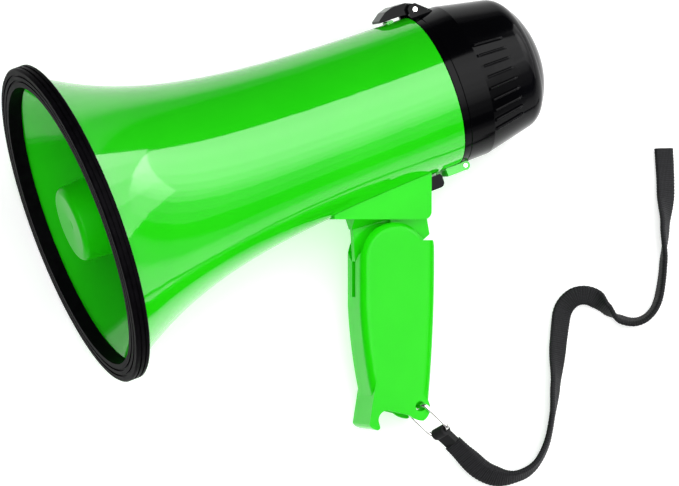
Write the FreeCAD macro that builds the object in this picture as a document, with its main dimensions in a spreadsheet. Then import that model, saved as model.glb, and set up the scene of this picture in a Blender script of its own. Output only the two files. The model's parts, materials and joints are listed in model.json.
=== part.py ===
import FreeCAD, Part
import math
import os
import Sketcher

# Handheld folding megaphone, in millimetres.
# It is drawn in its own axes: X along the horn from the bell's rim (X = 0) to the rear cap,
# Z up through the horn with the handle below, and Y across, with the near side at -Y.
# The grip is drawn in the handle's axes, whose origin is the fold pin. The last step lays the
# whole megaphone on its far side on a floor at Z = 0, with its wrist strap beside it.

Vector = FreeCAD.Vector
Placement = FreeCAD.Placement
Rotation = FreeCAD.Rotation
AXIS_X = Vector(1, 0, 0)
AXIS_Y = Vector(0, 1, 0)
AXIS_Z = Vector(0, 0, 1)

SIZES = {
    # horn
    "rim_radius": 80, "rim_depth": 7, "rim_inner": 70.6, "rim_rib": 0.7,
    "tube_radius": 37.8, "flare_rise": 41.2, "flare_length": 53, "flare_power": 1.06,
    "horn_front": 2, "horn_rear": 194.8, "horn_wall": 2.2, "horn_bore": 36,
    "ledge_front": 126, "ledge_rear": 130, "ledge_radius": 32,
    # bullet nose and throat
    "nose_front": 1, "nose_rear": 84, "nose_face": 15.5, "nose_edge": 18.6, "nose_skirt": 25.5,
    "nose_wall": 2, "fin_front": 66, "fin_thick": 2.4, "throat_front": 40, "throat_mouth": 13,
    "throat_bore": 8, "throat_wall": 2,
    # driver
    "plate_thick": 2.5, "driver_radius": 29, "chamber_radius": 25, "chamber_depth": 5.5,
    "pole_radius": 12, "coil_inner": 12.35, "coil_outer": 12.85, "gap_radius": 13.2,
    "steel_thick": 3, "steel_radius": 27, "magnet_radius": 28, "magnet_bore": 17,
    "magnet_depth": 9, "screw_radius": 1.5, "screw_head": 2.8, "screw_slack": 0.05,
    # amplifier and cells
    "board_front": 156, "board_thick": 1.6, "board_radius": 34.5, "post_circle": 32.2,
    "post_radius": 2.4, "holder_front": 166, "holder_rear": 212, "holder_radius": 31.6,
    "cell_radius": 13.1, "cell_circle": 16.2, "cell_bore": 13.4, "cell_front": 169.2,
    "cell_length": 48.5, "nub_radius": 3.3, "nub_length": 1.5, "tag_radius": 7, "tag_thick": 1.2,
    # rear cap
    "cap_front": 195.2, "cap_radius": 38.7, "cap_straight": 211.4, "cap_bore": 35,
    "cap_taper_end": 236, "cap_taper_radius": 33.6, "cap_dome_start": 243.2,
    "cap_dome_radius": 28.6, "dish_rim": 249, "dish_radius": 19, "dish_floor": 244.4,
    "dish_floor_radius": 17.2, "cap_skin": 2.6, "grip_rib_count": 9, "grip_rib_step": 8.5,
    "grip_rib_low": 9, "grip_rib_height": 0.6, "grip_front": 211.6, "grip_rear": 229,
    "grip_rib_width": 1.5, "cap_lip": 3,
    # cap hinge
    "hinge_along": 197.5, "hinge_drop": 39.6, "knuckle_radius": 2.3, "knuckle_half": 5,
    "knuckle_outer": 9, "hinge_pin_radius": 1, "run_slack": 0.05, "hinge_leaf_front": 187.2,
    # latch
    "latch_along": 198.9, "latch_rise": 41.2, "latch_pin_radius": 1.2, "latch_half": 5.8,
    "latch_hub": 2.7, "ear_inner": 6.6, "ear_outer": 8.8, "latch_tip": 180.4,
    "keeper_front": 184.6, "keeper_rear": 188.2, "keeper_top": 39.9, "keeper_half": 3.2,
    # handle: its axes start at the fold pin
    "pin_along": 146.8, "pin_drop": 69.4, "rake": 20, "grip_half": 13.6, "grip_wall": 2.4,
    "grip_top": 17.7, "grip_front_face": 17.6, "grip_rear_face": 20.8, "grip_edge": 4.5,
    "grip_end": 80, "slot_half": 2.7, "slot_end": 19.4, "notch_top": 3,
    "fold_pin_radius": 3, "boss_radius": 6, "boss_inner": 8.6, "neck_half": 7.4,
    "neck_radius": 14.2, "keel_half": 2.3, "washer_radius": 10, "washer_thick": 0.8,
    "saddle_half": 13, "saddle_front": 31.5, "saddle_rear": 18.4, "saddle_bottom": 18.6,
    # talk button, which slides forward into the bracket under the horn
    "talk_front": 167.8, "talk_rear": 185.2, "talk_top": 39.4, "talk_bottom": 45.9,
    "talk_half": 5.9, "talk_pocket": 159, "talk_gap": 0.3, "switch_length": 5.6,
    "spring_radius": 1.9,
    # strap ring, in the handle's axes
    "ring_hole_rear": 12.4, "ring_hole_drop": 72.9, "ring_hole_radius": 2.5, "wire_radius": 1,
    "ring_length": 17.5, "ring_width": 13, "ring_bend": 2.6, "ring_twist": 30, "ring_lean": 42,
    "ring_out": 1.6,
    # wrist strap on the floor
    "strap_width": 10, "loop_thick": 1.6, "loop_width": 8, "loop_tail": 8, "strap_gap": 1.2,
    # how the megaphone lies
    "lean_forward": 11.23, "lean_up": 16.2,
}

DRIVER_SCREW_COUNT = 4
POST_COUNT = 3
CELL_COUNT = 3
FIN_COUNT = 3

doc = FreeCAD.newDocument("Megaphone")
sheet = doc.addObject("Spreadsheet::Sheet", "Sizes")
for row, (alias, number) in enumerate(SIZES.items(), start=1):
    sheet.set(f"A{row}", alias)
    sheet.set(f"B{row}", str(number))
    sheet.setAlias(f"B{row}", alias)
doc.recompute()

nodes = []


def size(text):
    """The value of an expression of the sheet's aliases, such as 'cap_front + 2'."""
    return float(sheet.evalExpression(bound(text)))


def bound(text):
    """The same expression with each alias written as FreeCAD needs it."""
    words = []
    for word in text.replace("(", " ( ").replace(")", " ) ").split():
        words.append(f"Sizes.{word}" if word in SIZES else word)
    return " ".join(words)


def node(obj, label, at=Placement()):
    """Names a finished piece and keeps it for the lying placement."""
    obj.Label = label
    nodes.append((obj, at))
    return obj


def origin_plane(body, role):
    return next(item for item in body.Origin.OriginFeatures if item.Role == role)


def outline(body, role, points, offset="0"):
    """A closed sketch through (across, up) pairs of expressions; a four-part entry is the
    middle and the end of an arc from the point before it."""
    sketch = body.newObject("Sketcher::SketchObject", "Outline")
    sketch.AttachmentSupport = [(origin_plane(body, role), "")]
    sketch.MapMode = "FlatFace"
    sketch.AttachmentOffset = Placement(Vector(0, 0, size(offset)), Rotation())
    ends = [entry[-2:] for entry in points]
    spots = [Vector(size(across), size(up), 0) for across, up in ends]
    for index, entry in enumerate(points):
        start, stop = spots[index - 1], spots[index]
        if len(entry) == 4:
            middle = Vector(size(entry[0]), size(entry[1]), 0)
            sketch.addGeometry(Part.Arc(start, middle, stop))
        else:
            sketch.addGeometry(Part.LineSegment(start, stop))
    for index in range(len(points)):
        for corner in (1, 2):
            here = sketch.getPoint(index, corner)
            match = min((index - 1, index), key=lambda k: spots[k].distanceToPoint(here))
            for kind, text, number in zip(("DistanceX", "DistanceY"), ends[match], here):
                place = sketch.addConstraint(Sketcher.Constraint(kind, -1, 1, index, corner, number))
                sketch.setExpression(f"Constraints[{place}]", bound(text))
    return sketch


def turned(name, points, at=Placement()):
    """A body turned about X from its half outline of (along, radius) pairs."""
    body = doc.addObject("PartDesign::Body", name)
    sketch = outline(body, "XZ_Plane", points)
    spin = body.newObject("PartDesign::Revolution", "Turn")
    spin.Profile = sketch
    spin.ReferenceAxis = (sketch, ["H_Axis"])
    spin.Angle = 360
    body.Placement = at
    return body


def slab(name, points, low, high, role="XZ_Plane", at=Placement()):
    """A prism of an outline: over low <= -Y <= high on XZ_Plane, or along Z on XY_Plane."""
    body = doc.addObject("PartDesign::Body", name)
    sketch = outline(body, role, points, low)
    pad = body.newObject("PartDesign::Pad", "Thickness")
    pad.Profile = sketch
    pad.setExpression("Length", bound(f"{high} - ( {low} )"))
    body.Placement = at
    return body


def rod(name, radius, length, start, along=AXIS_X):
    """A cylinder from start, a Vector, in the direction along."""
    item = doc.addObject("Part::Cylinder", name)
    item.setExpression("Radius", bound(radius))
    item.setExpression("Height", bound(length))
    item.Placement = Placement(start, Rotation(AXIS_Z, along))
    return item


def block(name, low, high):
    """A box between two corners given as triples of expressions."""
    item = doc.addObject("Part::Box", name)
    for side, a, b in zip(("Length", "Width", "Height"), low, high):
        item.setExpression(side, bound(f"{b} - ( {a} )"))
    item.Placement = Placement(Vector(*[size(text) for text in low]), Rotation())
    return item


def fused(name, pieces):
    item = doc.addObject("Part::MultiFuse", name)
    item.Shapes = pieces
    return item


def group(name, pieces):
    item = doc.addObject("Part::Compound", name)
    item.Links = pieces
    return item


def cut(name, base, tool):
    item = doc.addObject("Part::Cut", name)
    item.Base = base
    item.Tool = tool
    return item


def common(name, base, tool):
    item = doc.addObject("Part::Common", name)
    item.Base = base
    item.Tool = tool
    return item


def ring_spots(count, circle, turn=0.0):
    """Count places round the horn's axis as (Y, Z) pairs."""
    for index in range(count):
        angle = math.radians(turn + 360.0 * index / count)
        yield size(circle) * math.sin(angle), size(circle) * math.cos(angle)


def flare(along):
    """Outer radius of the horn at a distance behind the rim."""
    decay = math.exp(-((along / size("flare_length")) ** size("flare_power")))
    return size("tube_radius") + size("flare_rise") * decay


def flare_curve(start, stop, inset):
    """The flare's line from start to stop, as a smooth curve inset from the outer surface."""
    steps = 14
    places = [start + (stop - start) * index / steps for index in range(steps + 1)]
    curve = Part.BSplineCurve()
    curve.interpolate([Vector(along, 0, flare(along) - inset) for along in places])
    return curve.toShape()


def chain(points):
    return [Part.makeLine(a, b) for a, b in zip(points, points[1:])]


def spun(edges):
    """A solid turned about X from a closed outline of edges in the XZ plane."""
    face = Part.Face(Part.Wire(Part.__sortEdges__(edges)))
    return face.revolve(Vector(), AXIS_X, 360)


def feature(name, shape):
    item = doc.addObject("Part::Feature", name)
    item.Shape = shape
    return item


def on_axis(along, radius):
    return Vector(along, 0, radius)


BRACKET_SCREWS = (137.5, 153.0)


def make_horn():
    front, rear = size("horn_front"), size("horn_rear")
    wall, bore, ledge = size("horn_wall"), size("horn_bore"), size("ledge_radius")
    ledge_front, ledge_rear = size("ledge_front"), size("ledge_rear")
    edges = [flare_curve(front, rear, 0), flare_curve(front, ledge_front, wall)]
    edges += chain([on_axis(front, flare(front)), on_axis(front, flare(front) - wall)])
    edges += chain([
        on_axis(rear, flare(rear)), on_axis(rear, bore), on_axis(ledge_rear, bore),
        on_axis(ledge_rear, ledge), on_axis(ledge_front, ledge),
        on_axis(ledge_front, flare(ledge_front) - wall),
    ])
    bell = feature("horn_wall_turned", spun(edges))
    keeper = slab("latch_keeper", [
        ("keeper_front", "horn_bore + 1.5"), ("keeper_front", "keeper_top - 0.6"),
        ("keeper_front + 0.8", "keeper_top"), ("keeper_rear - 0.8", "keeper_top"),
        ("keeper_rear", "keeper_top - 0.6"), ("keeper_rear", "horn_bore + 1.5"),
    ], "- keeper_half", "keeper_half")
    holes = group("bracket_screw_holes", [
        rod("bracket_screw_hole", "screw_radius + screw_slack", "12", Vector(along, 0, -46), AXIS_Z)
        for along in BRACKET_SCREWS
    ])
    return node(cut("horn", fused("horn_and_keeper", [bell, keeper]), holes), "horn_bell")


def horn_plug():
    """The whole space inside the horn's outer surface, for cutting what seats on it."""
    rear = size("horn_rear") + 2
    edges = [flare_curve(size("horn_front"), rear, -0.05)]
    edges += chain([
        on_axis(rear, flare(rear) + 0.05), on_axis(rear, 0), on_axis(size("horn_front"), 0),
        on_axis(size("horn_front"), flare(size("horn_front")) + 0.05),
    ])
    return feature("horn_plug", spun(edges))


def make_rim():
    """The rubber ring: a slot behind holds the bell's edge, ribs run round it outside."""
    points = [("rim_depth", "rim_inner")]
    for low, high in (("rim_inner + 2.6", "rim_inner + 3.6"), ("rim_inner + 5.4", "rim_inner + 6.4")):
        points += [("0", low), ("rim_rib", low), ("rim_rib", high), ("0", high)]
    points.insert(1, ("0", "rim_inner"))
    points += [("0", "rim_radius - 0.8"), ("0.8", "rim_radius")]
    for low, high in (("1.9", "2.8"), ("4.2", "5.1")):
        points += [(low, "rim_radius"), (low, "rim_radius - rim_rib")]
        points += [(high, "rim_radius - rim_rib"), (high, "rim_radius")]
    points += [
        ("rim_depth - 0.6", "rim_radius"), ("rim_depth", "rim_radius - 0.6"),
        ("rim_depth", "rim_radius - 5.2"), ("horn_front - 0.15", "rim_radius - 1.85"),
        ("horn_front - 0.15", "rim_radius - 4.8"), ("rim_depth", "rim_radius - 8.1"),
    ]
    return node(turned("rim", points), "rim_ring")


def make_nose():
    cup = turned("nose_cup", [
        ("nose_front + 1", "0"), ("nose_front", "nose_face"),
        ("nose_front + 0.9", "nose_face + 2.3", "nose_front + 3", "nose_edge"),
        ("nose_rear", "nose_skirt"), ("nose_rear", "nose_skirt - nose_wall"),
        ("nose_front + 4.5", "nose_edge - nose_wall"), ("nose_front + 3", "0"),
    ])
    fins = []
    for index in range(FIN_COUNT):
        fin = slab(f"nose_fin_{index + 1}", [
            ("fin_front", "nose_skirt - 3"), ("fin_front", "nose_skirt + 21.3"),
            ("nose_rear", "nose_skirt + 17.8"), ("nose_rear", "nose_skirt - 1"),
        ], "- fin_thick / 2", "fin_thick / 2")
        fin.Placement = Placement(Vector(), Rotation(AXIS_X, 360.0 * index / FIN_COUNT + 30))
        fins.append(fin)
    return node(fused("nose", [cup] + fins), "bullet_nose")


def make_throat():
    node(turned("throat", [
        ("throat_front", "throat_mouth - throat_wall"), ("throat_front", "throat_mouth"),
        ("ledge_rear - 3", "throat_bore + throat_wall"), ("ledge_rear - 3", "throat_bore + 12"),
        ("ledge_rear", "throat_bore + 12"), ("ledge_rear", "throat_bore"),
    ]), "throat_tube")


def row_of_screws(label, count, circle, head_at, head_depth, shaft_length, turn=0.0):
    """Screws parallel to X: each has a head from head_at and a shaft behind it."""
    screws = []
    for index, (across, up) in enumerate(ring_spots(count, circle, turn)):
        base = size(head_at)
        head = rod(f"{label}_head_{index}", "screw_head", head_depth, Vector(base, across, up))
        tip = Vector(base + size(head_depth), across, up)
        shaft = rod(f"{label}_shaft_{index}", "screw_radius", shaft_length, tip)
        screws.append(fused(f"{label}_{index}", [head, shaft]))
    return node(group(label, screws), label)


def drilled(name, base, label, count, circle, start, length, turn=0.0):
    """Base with a ring of holes parallel to X, which screws pass with a little slack."""
    holes = []
    for index, (across, up) in enumerate(ring_spots(count, circle, turn)):
        spot = Vector(size(start), across, up)
        holes.append(rod(f"{name}_hole_{index}", "screw_radius + screw_slack", length, spot))
    return node(cut(name, base, group(f"{name}_holes", holes)), label)


def make_driver():
    plate_rear = "ledge_rear + plate_thick"
    disc = turned("bulkhead_disc", [
        ("ledge_rear", "throat_bore"), ("ledge_rear", "horn_bore - 0.1"),
        (plate_rear, "horn_bore - 0.1"), (plate_rear, "throat_bore"),
    ])
    posts = [
        rod(f"bulkhead_post_{index}", "post_radius", "board_front - ledge_rear - 0.5",
            Vector(size("ledge_rear + 0.5"), across, up))
        for index, (across, up) in enumerate(ring_spots(POST_COUNT, "post_circle"))
    ]
    plate = fused("bulkhead_and_posts", [disc] + posts)
    tapped = cut("bulkhead_tapped", plate, group("board_screw_holes", [
        rod(f"board_screw_hole_{index}", "screw_radius + screw_slack", "9",
            Vector(size("board_front - 8"), across, up))
        for index, (across, up) in enumerate(ring_spots(POST_COUNT, "post_circle"))
    ]))
    drilled("bulkhead_drilled", tapped, "bulkhead", DRIVER_SCREW_COUNT,
            "chamber_radius + 2", "ledge_rear - 1", "plate_thick + 2", 45)
    chamber = turned("chamber_ring", [
        (plate_rear, "chamber_radius"), (plate_rear, "driver_radius"),
        (plate_rear + " + chamber_depth", "driver_radius"),
        (plate_rear + " + chamber_depth", "chamber_radius"),
    ])
    drilled("chamber_drilled", chamber, "driver_frame", DRIVER_SCREW_COUNT,
            "chamber_radius + 2", plate_rear + " - 1", "6", 45)
    row_of_screws("driver_screws", DRIVER_SCREW_COUNT, "chamber_radius + 2",
                  "ledge_rear - 2", "2", "plate_thick + 4.4", 45)
    steel = plate_rear + " + chamber_depth"
    magnet = steel + " + steel_thick"
    back = magnet + " + magnet_depth"
    node(turned("front_washer", [
        (steel, "gap_radius"), (steel, "driver_radius - 0.5"),
        (magnet, "driver_radius - 0.5"), (magnet, "gap_radius"),
    ]), "top_plate")
    node(turned("magnet_turned", [
        (magnet, "magnet_bore"), (magnet, "magnet_radius"),
        (back, "magnet_radius"), (back, "magnet_bore"),
    ]), "magnet_ring")
    node(turned("pole_turned", [
        (steel, "0"), (steel, "pole_radius"), (back, "pole_radius"), (back, "steel_radius"),
        (back + " + steel_thick", "steel_radius"), (back + " + steel_thick", "0"),
    ]), "back_plate_and_pole")
    dome = plate_rear + " + 1.1"
    node(turned("coil_turned", [
        (dome + " + 1.5", "coil_inner"), (dome + " + 1.5", "coil_outer"),
        (back + " - 3", "coil_outer"), (back + " - 3", "coil_inner"),
    ]), "voice_coil")
    node(turned("dome_turned", [
        (dome, "0"), (dome + " + 0.25", "7"), (dome + " + 1", "coil_outer"),
        (dome + " + 2.6", "18.5"), (dome + " + 1", "chamber_radius - 0.1"),
        (dome + " + 1.4", "chamber_radius - 0.1"), (dome + " + 3", "18.5"),
        (dome + " + 1.4", "coil_outer"), (dome + " + 0.65", "7"), (dome + " + 0.4", "0"),
    ]), "diaphragm")


def make_electronics():
    board = turned("board_disc", [
        ("board_front", "0"), ("board_front", "board_radius"),
        ("board_front + board_thick", "board_radius"), ("board_front + board_thick", "0"),
    ])
    drilled("board_drilled", board, "amplifier_board", POST_COUNT, "post_circle",
            "board_front - 1", "board_thick + 2")
    back = "board_front + board_thick"
    screws = []
    for index, (across, up) in enumerate(ring_spots(POST_COUNT, "post_circle")):
        head = rod(f"board_screw_head_{index}", "screw_head - 0.3", "1.6",
                   Vector(size(back), across, up))
        shaft = rod(f"board_screw_shaft_{index}", "screw_radius", "board_thick + 6",
                    Vector(size("board_front - 6"), across, up))
        screws.append(fused(f"board_screw_{index}", [head, shaft]))
    node(group("board_screw_group", screws), "board_screws")
    parts = [
        rod("capacitor_large", "5.5", "7.4", Vector(size(back), 14, 12)),
        rod("capacitor_small", "4", "7.4", Vector(size(back), -15, 13)),
        block("transformer", (back, "-8", "-12"), (back + " + 7.4", "8", "2")),
        block("power_chip", (back, "13", "-14"), (back + " + 4.5", "21", "-2")),
        block("plug_header", (back, "-23", "-9"), (back + " + 6", "-15", "-3")),
    ]
    node(group("board_part_group", parts), "amplifier_parts")
    tray = turned("holder_turned", [
        ("holder_front", "0"), ("holder_front", "holder_radius"),
        ("horn_rear - 7", "holder_radius"), ("horn_rear - 7", "horn_bore - 0.1"),
        ("horn_rear - 3", "horn_bore - 0.1"), ("horn_rear - 3", "holder_radius"),
        ("holder_rear", "holder_radius"), ("holder_rear", "0"),
    ])
    bays = [
        rod(f"cell_bay_{index}", "cell_bore", "60", Vector(size("cell_front - tag_thick"), across, up))
        for index, (across, up) in enumerate(ring_spots(CELL_COUNT, "cell_circle"))
    ]
    node(cut("holder_with_bays", tray, group("cell_bays", bays)), "battery_holder")
    tags = []
    for index, (across, up) in enumerate(ring_spots(CELL_COUNT, "cell_circle")):
        start = Vector(size("cell_front"), across, up)
        can = rod(f"cell_can_{index}", "cell_radius", "cell_length", start)
        nub_at = Vector(size("cell_front + cell_length"), across, up)
        nub = rod(f"cell_nub_{index}", "nub_radius", "nub_length", nub_at)
        node(fused(f"cell_{index}", [can, nub]), f"battery_cell_{index + 1}")
        tag_at = Vector(size("cell_front - tag_thick"), across, up)
        tags.append(rod(f"cell_tag_{index}", "tag_radius", "tag_thick", tag_at))
    node(group("cell_tags", tags), "front_contacts")


def make_cap():
    shell = turned("cap_turned", [
        ("cap_front", "cap_bore"), ("cap_front", "cap_radius"),
        ("cap_front + cap_lip", "cap_radius"), ("cap_front + cap_lip", "cap_radius - 0.35"),
        ("cap_front + cap_lip + 0.5", "cap_radius - 0.35"),
        ("cap_front + cap_lip + 0.8", "cap_radius"), ("cap_straight", "cap_radius"),
        ("cap_taper_end", "cap_taper_radius"),
        ("cap_taper_end + 4.4", "cap_taper_radius - 1.9", "cap_dome_start", "cap_dome_radius"),
        ("cap_dome_start + 3.2", "cap_dome_radius - 4.5", "dish_rim", "dish_radius"),
        ("dish_rim - 0.4", "dish_floor_radius + 0.6"), ("dish_floor", "dish_floor_radius"),
        ("dish_floor", "0"), ("dish_floor - cap_skin", "0"),
        ("dish_floor - cap_skin", "dish_radius + 1"),
        ("cap_taper_end + 4.2", "cap_dome_radius - 1.6"),
        ("cap_taper_end - 1", "cap_taper_radius - 3"), ("cap_straight", "cap_bore"),
    ])
    band = turned("grip_band", [
        ("grip_front", "cap_radius - 1.6"), ("grip_front", "cap_radius"),
        ("grip_front + 0.8", "cap_radius - 0.2 + grip_rib_height"),
        ("grip_rear - 0.8", "cap_radius - 3.4 + grip_rib_height"),
        ("grip_rear", "cap_radius - 3.7"), ("grip_rear", "cap_radius - 5.6"),
    ])
    bars = []
    middle = (size("grip_rib_count") - 1) / 2
    for side in (1, -1):
        for index in range(int(size("grip_rib_count"))):
            bar = block(f"grip_bar_{index}", ("grip_front - 2", "- grip_rib_width / 2", "30"),
                        ("grip_rear + 2", "grip_rib_width / 2", "42"))
            below = 90 + size("grip_rib_low") + (index - middle) * size("grip_rib_step")
            spin = Placement(Vector(), Rotation(AXIS_X, side * below))
            bar.Placement = spin.multiply(bar.Placement)
            bars.append(bar)
    ribs = common("grip_ribs", band, group("grip_bars", bars))
    ears = [
        slab(f"latch_ear_{label}", [
            ("cap_front + 0.2", "cap_radius - 2.5"), ("cap_front + 0.2", "latch_rise + 1.2"),
            ("latch_along - 1.6", "latch_rise + 3"), ("latch_along + 1", "latch_rise + 2.9"),
            ("latch_along + 8.1", "cap_radius - 0.6"), ("latch_along + 8.1", "cap_radius - 2.5"),
        ], low, high)
        for label, low, high in (("near", "ear_inner", "ear_outer"),
                                 ("far", "- ear_outer", "- ear_inner"))
    ]
    hinge_at = Vector(size("hinge_along"), -size("knuckle_half"), -size("hinge_drop"))
    knuckle = rod("cap_knuckle", "knuckle_radius", "knuckle_half * 2", hinge_at, AXIS_Y)
    solid = fused("cap_solid", [shell, ribs, knuckle] + ears)
    pin_hole_at = Vector(size("hinge_along"), -12, -size("hinge_drop"))
    latch_at = Vector(size("latch_along"), -size("ear_outer + 0.4"), size("latch_rise"))
    tools = [
        rod("cap_hinge_bore", "hinge_pin_radius + run_slack", "24", pin_hole_at, AXIS_Y),
        rod("ear_bore", "latch_pin_radius", "ear_outer * 2 + 0.8", latch_at, AXIS_Y),
        block("latch_recess", ("cap_front - 1", "- latch_half - 0.4", "cap_radius - 0.8"),
              ("latch_along + 4.4", "latch_half + 0.4", "cap_radius + 1")),
    ]
    for label, low, high in (("near", "- knuckle_outer - 0.3", "- knuckle_half"),
                             ("far", "knuckle_half", "knuckle_outer + 0.3")):
        tools.append(block(f"knuckle_recess_{label}",
                           ("cap_front - 1", low, "- hinge_drop - 3"),
                           ("hinge_along + knuckle_radius + 0.5", high, "- hinge_drop + 2.6")))
    node(cut("cap_cut", solid, group("cap_tools", tools)), "rear_cap")
    node(rod("latch_pin_rod", "latch_pin_radius", "ear_outer * 2 + 0.8", latch_at, AXIS_Y),
         "latch_pin")


def make_cap_inside():
    front = "cell_front + cell_length + nub_length + 0.4"
    board = front + " + 4.4"
    springs = []
    for index, (across, up) in enumerate(ring_spots(CELL_COUNT, "cell_circle")):
        cone = doc.addObject("Part::Cone", f"cap_spring_{index}")
        cone.Radius1 = 2.4
        cone.Radius2 = 5
        cone.setExpression("Height", bound(f"{board} - ( {front} )"))
        spot = Vector(size(front), across, up)
        cone.Placement = Placement(spot, Rotation(AXIS_Z, AXIS_X))
        springs.append(cone)
    node(group("cap_spring_group", springs), "rear_contacts")
    node(turned("contact_disc", [
        (board, "0"), (board, "cap_taper_radius - 2.6"),
        (board + " + 1.6", "cap_taper_radius - 2.9"), (board + " + 1.6", "0"),
    ]), "contact_board")
    floor = "dish_floor - cap_skin"
    capsule = rod("mic_can", "5", "6", Vector(size(floor + " - 6"), 0, 8))
    node(capsule, "mic_capsule")
    node(rod("volume_pot_can", "6.5", "7", Vector(size(floor + " - 7"), 8, -7)), "volume_control")
    node(block("slide_switch_box", (floor + " - 6", "-13", "-11"), (floor, "-5", "-3")),
         "siren_switch")


def make_controls():
    node(turned("knob_turned", [
        ("dish_floor + 0.4", "0"), ("dish_floor + 0.4", "5.6"), ("dish_floor + 3.6", "5.2"),
        ("dish_floor + 4.2", "4.6"), ("dish_floor + 4.2", "0"),
    ]), "volume_knob", Placement(Vector(0, 8, -7), Rotation()))
    node(block("slide_cap", ("dish_floor + 0.4", "-11", "-9.4"), ("dish_floor + 2.6", "-7", "-6")),
         "siren_slide")
    grille = rod("grille_disc", "6.4", "0.9", Vector(size("dish_floor"), 0, 8))
    slots = [
        block(f"grille_slot_{index}", ("dish_floor - 1", f"{index} * 2.2 - 0.45", "4.2"),
              ("dish_floor + 2", f"{index} * 2.2 + 0.45", "11.8"))
        for index in (-1, 0, 1)
    ]
    node(cut("grille_cut", grille, group("grille_slots", slots)), "mic_grille")


def make_latch():
    lever = slab("lever_plate", [
        ("latch_tip", "keeper_top + 0.45"), ("latch_tip", "keeper_top + 1.6"),
        ("latch_tip + 4.6", "latch_rise + 3.5"), ("latch_tip + 9", "latch_rise + 4.7"),
        ("latch_along - 3", "latch_rise + 4.4"), ("latch_along + 0.6", "latch_rise + 2.9"),
        ("latch_along + 2.6", "latch_rise + 0.6", "latch_along", "latch_rise - latch_hub"),
        ("latch_along - 5.6", "keeper_top + 0.3"),
    ], "- latch_half", "latch_half")
    bore = rod("lever_bore", "latch_pin_radius + run_slack", "20",
               Vector(size("latch_along"), -10, size("latch_rise")), AXIS_Y)
    node(cut("lever_bored", lever, bore), "latch_lever")


def make_hinge():
    leaf = block("hinge_leaf_block", ("hinge_leaf_front", "- knuckle_outer", "- hinge_drop - 2.2"),
                 ("horn_rear", "knuckle_outer", "- horn_bore"))
    arms = []
    for label, low, high in (("near", "- knuckle_outer", "- knuckle_half - 0.25"),
                             ("far", "knuckle_half + 0.25", "knuckle_outer")):
        arms.append(block(f"hinge_arm_{label}", ("horn_rear - 1", low, "- hinge_drop - 2.2"),
                          ("hinge_along", high, "- hinge_drop + 1.9")))
        start = Vector(size("hinge_along"), size(low), -size("hinge_drop"))
        arms.append(rod(f"hinge_knuckle_{label}", "knuckle_radius", f"{high} - ( {low} )",
                        start, AXIS_Y))
    tools = [
        rod("hinge_seat", "cap_radius + 0.12", "13", Vector(size("horn_rear - 12"), 0, 0)),
        rod("hinge_pin_bore", "hinge_pin_radius", "30",
            Vector(size("hinge_along"), -15, -size("hinge_drop")), AXIS_Y),
    ]
    solid = fused("hinge_leaf_solid", [leaf] + arms)
    node(cut("hinge_leaf_cut", solid, group("hinge_tools", tools)), "cap_hinge_leaf")
    node(rod("hinge_pin_rod", "hinge_pin_radius", "knuckle_outer * 2",
             Vector(size("hinge_along"), -size("knuckle_outer"), -size("hinge_drop")), AXIS_Y),
         "cap_hinge_pin")


# The grip's own axes: X back from the fold pin, Z up the grip's length, Y across.
HANDLE = Placement(Vector(size("pin_along"), 0, -size("pin_drop")), Rotation(AXIS_Y, size("rake")))


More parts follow.
